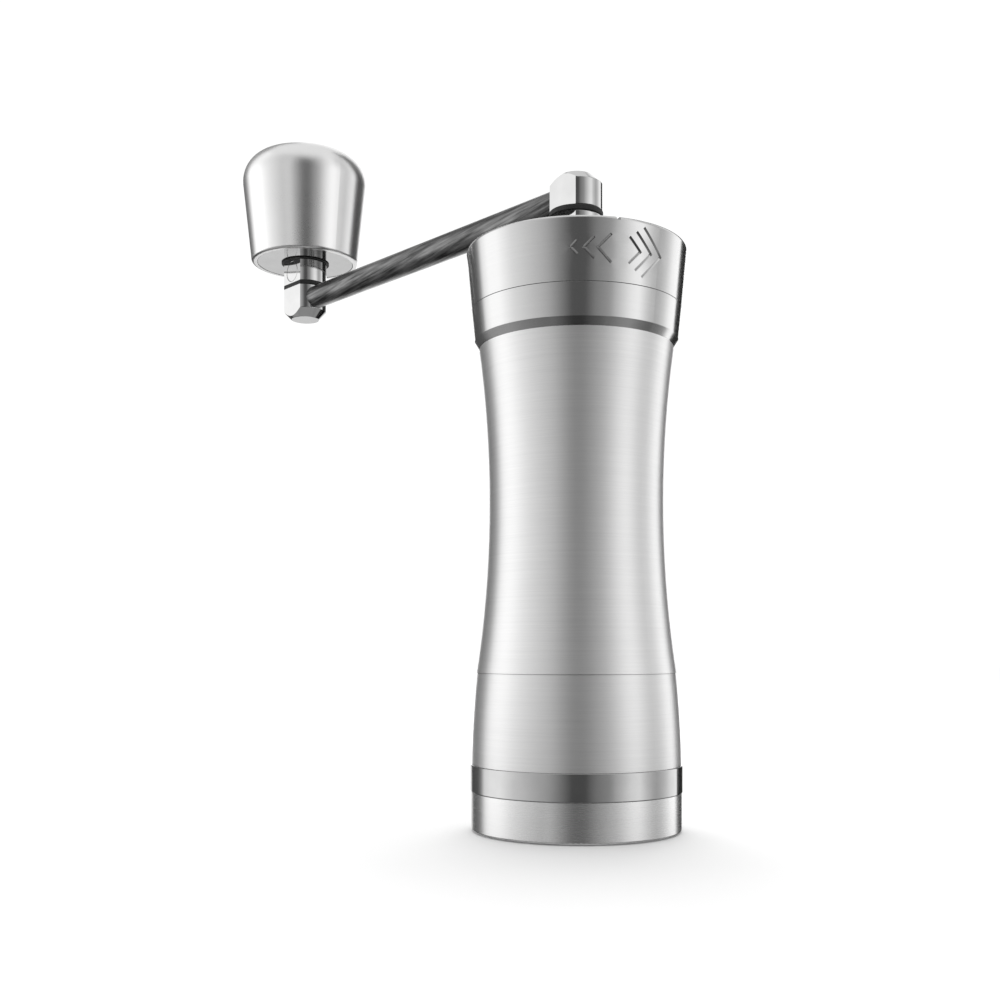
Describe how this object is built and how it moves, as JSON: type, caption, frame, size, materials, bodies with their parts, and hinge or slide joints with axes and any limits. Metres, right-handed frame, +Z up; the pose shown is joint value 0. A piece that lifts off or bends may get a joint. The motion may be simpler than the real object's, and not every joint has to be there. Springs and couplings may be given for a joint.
{
  "type": "hand crank coffee grinder",
  "caption": "Waisted steel hand coffee grinder with a lift-off grounds cup, a top grind-setting dial, conical burrs and a detachable carbon crank arm with a spinning knob.",
  "frame": {"origin": "centre of the foot, on the table", "axes": "+Z up the axis of the body; the crank arm lies along -X at rest"},
  "size_m": [0.1944, 0.0626, 0.2363],
  "materials": {
    "body_steel": "fine brushed lines running round the body",
    "dial_steel": "very fine turned satin",
    "polished_steel": "polished stainless steel",
    "knob_alloy": "bead-blasted satin",
    "inner_alloy": "machined",
    "scale_ring": "black anodised",
    "burr_steel": "hardened and ground",
    "shaft_steel": "turned",
    "race_steel": "ground",
    "spring_steel": "spring steel",
    "magnet": "nickel plated",
    "black_rubber": "soft matt black",
    "carbon": "wound carbon fibre under clear resin, fine diagonal streaks"
  },
  "bodies": {
    "cup": {"foot_pad": "black_rubber", "cup_base": "body_steel", "cup_band": "polished_steel", "cup_wall": "body_steel"},
    "housing": {"body_shell": "body_steel", "burr_retainer": "inner_alloy", "cup_magnets": "magnet", "outer_burr": "burr_steel", "lower_bridge": "inner_alloy", "lower_outer_race": "race_steel", "lower_bearing_balls": "race_steel", "lower_circlip": "spring_steel", "top_collar": "body_steel", "guide_pins": "shaft_steel", "dial_snap_ring": "spring_steel", "click_ball": "race_steel", "click_spring": "spring_steel"},
    "dial": {"grind_dial": "dial_steel"},
    "carrier": {"shaft_carrier": "inner_alloy", "carrier_circlips": "spring_steel", "carrier_outer_races": "race_steel", "carrier_balls": "race_steel", "scale_funnel": "scale_ring"},
    "lower_race": {"lower_inner_race": "race_steel"},
    "drivetrain": {"drive_shaft": "shaft_steel", "shaft_clip": "spring_steel", "inner_burr": "burr_steel", "burr_washer": "shaft_steel", "burr_nut": "shaft_steel", "preload_spring": "spring_steel", "carrier_inner_races": "race_steel", "bearing_spacer": "shaft_steel", "coupling_washer": "shaft_steel", "drive_coupling": "polished_steel", "coupling_pin": "shaft_steel", "hub_latch_spring": "spring_steel"},
    "hub_button": {"hub_button": "polished_steel"},
    "lid": {"hopper_lid": "scale_ring", "lid_seal": "black_rubber"},
    "crank": {"hub_fitting": "polished_steel", "hub_gasket": "black_rubber", "hub_stud": "shaft_steel", "crank_tube": "carbon", "pin_fitting": "polished_steel", "knob_stud": "shaft_steel", "stem_gasket": "black_rubber"},
    "knob_mount": {"knob_stem": "polished_steel", "knob_latch_spring": "spring_steel", "knob_seal": "black_rubber", "knob_inner_races": "race_steel", "knob_spacer": "shaft_steel", "knob_washer": "shaft_steel", "knob_screw": "shaft_steel"},
    "knob_button": {"knob_button": "polished_steel"},
    "knob": {"knob_shell": "knob_alloy", "knob_core": "inner_alloy", "knob_base_plate": "polished_steel", "knob_outer_races": "race_steel", "knob_balls": "race_steel"}
  },
  "joints": [
    {"name": "cup_release", "type": "slide", "parent": "cup", "child": "housing", "axis": [0, 0, 1], "range_m": [0, 0.045]},
    {"name": "dial_turn", "type": "hinge", "parent": "housing", "child": "dial", "pos_m": [0, 0, 0.157], "axis": [0, 0, 1], "range_deg": [-180, 180]},
    {"name": "carrier_lift", "type": "slide", "parent": "housing", "child": "carrier", "axis": [0, 0, 1], "range_m": [-0.0004, 0.0004], "deforming": ["preload_spring"]},
    {"name": "lower_race_spin", "type": "hinge", "parent": "housing", "child": "lower_race", "pos_m": [0, 0, 0.078], "axis": [0, 0, 1], "continuous": true},
    {"name": "crank_spin", "type": "hinge", "parent": "carrier", "child": "drivetrain", "pos_m": [0, 0, 0.145], "axis": [0, 0, 1], "continuous": true},
    {"name": "hub_button_press", "type": "slide", "parent": "drivetrain", "child": "hub_button", "axis": [0, 1, 0], "range_m": [0, 0.0008], "stiffness_N_per_m": 900, "springref_m": -0.001, "deforming": ["hub_latch_spring"]},
    {"name": "lid_lift", "type": "slide", "parent": "carrier", "child": "lid", "axis": [0, 0, 1], "range_m": [0, 0.03]},
    {"name": "crank_lift", "type": "slide", "parent": "drivetrain", "child": "crank", "axis": [0, 0, 1], "range_m": [0, 0.06], "deforming": ["hub_latch_spring"]},
    {"name": "knob_lift", "type": "slide", "parent": "crank", "child": "knob_mount", "axis": [0, 0, 1], "range_m": [0, 0.03], "deforming": ["knob_latch_spring"]},
    {"name": "knob_button_press", "type": "slide", "parent": "knob_mount", "child": "knob_button", "axis": [0, 1, 0], "range_m": [0, 0.0008], "stiffness_N_per_m": 900, "springref_m": -0.001, "deforming": ["knob_latch_spring"]},
    {"name": "knob_spin", "type": "hinge", "parent": "knob_mount", "child": "knob", "pos_m": [-0.1405, 0, 0.212], "axis": [0, 0, 1], "continuous": true}
  ],
  "couplings": [
    {"joint": "carrier_lift", "follows": "dial_turn", "m_per_rad": -0.00011937},
    {"joint": "lower_race_spin", "follows": "crank_spin", "ratio": 1},
    {"joint": "lid_lift", "follows": "crank_lift", "ratio": 0.5}
  ]
}
